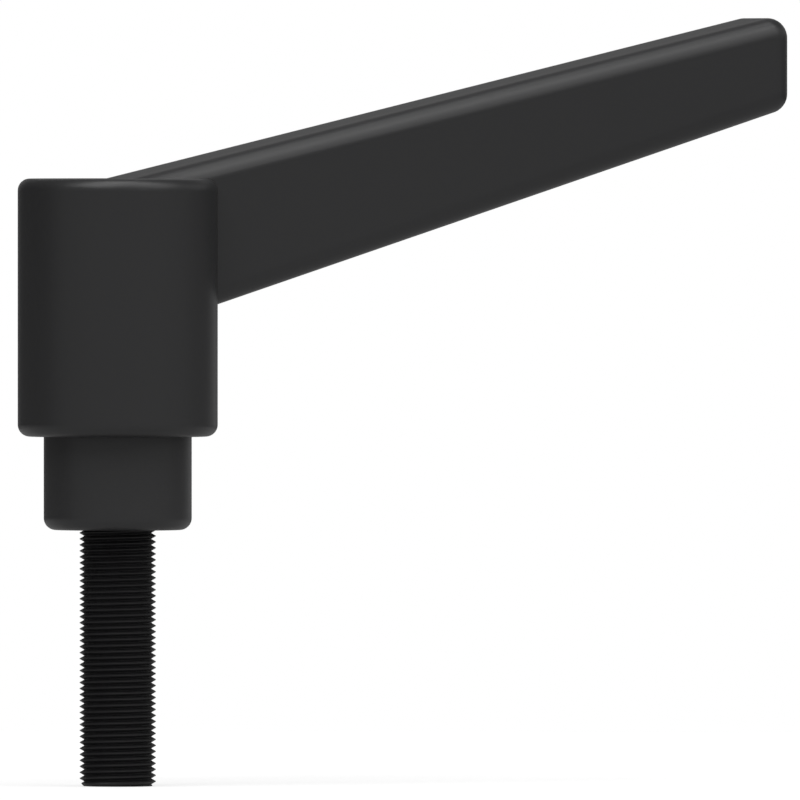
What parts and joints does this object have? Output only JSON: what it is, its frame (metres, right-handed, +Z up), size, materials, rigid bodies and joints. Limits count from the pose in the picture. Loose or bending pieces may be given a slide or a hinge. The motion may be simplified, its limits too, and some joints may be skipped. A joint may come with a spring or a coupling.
{
  "type": "clamping lever",
  "caption": "Black clamping lever: a rounded arm on a closed round hub lifts against a spring and indexes on a serrated insert that carries a threaded stud.",
  "frame": {"origin": "centre of the collar's flat seating face, where the threaded stud leaves it", "axes": "+Z up along the stud's axis towards the hub's closed top, +X along the arm"},
  "size_m": [0.1045, 0.025, 0.096],
  "materials": {
    "moulded_polyamide": "satin",
    "blackened_steel": "satin",
    "blackened_thread": "satin",
    "plain_steel": "satin",
    "spring_steel": "satin"
  },
  "bodies": {
    "base": {"serrated_insert": "blackened_steel", "threaded_stud": "blackened_thread", "retaining_screw": "blackened_thread"},
    "spring": {"return_spring": "spring_steel"},
    "handle": {"lever_handle": "moulded_polyamide", "spring_seat_ring": "plain_steel"}
  },
  "joints": [
    {"name": "index_swivel", "type": "hinge", "parent": "base", "child": "spring", "pos_m": [0, 0, 0.0194], "axis": [0, 0, 1], "continuous": true},
    {"name": "handle_lift", "type": "slide", "parent": "spring", "child": "handle", "axis": [0, 0, 1], "range_m": [0, 0.0048], "stiffness_N_per_m": 2900, "springref_m": -0.0046, "deforming": ["return_spring"]}
  ]
}
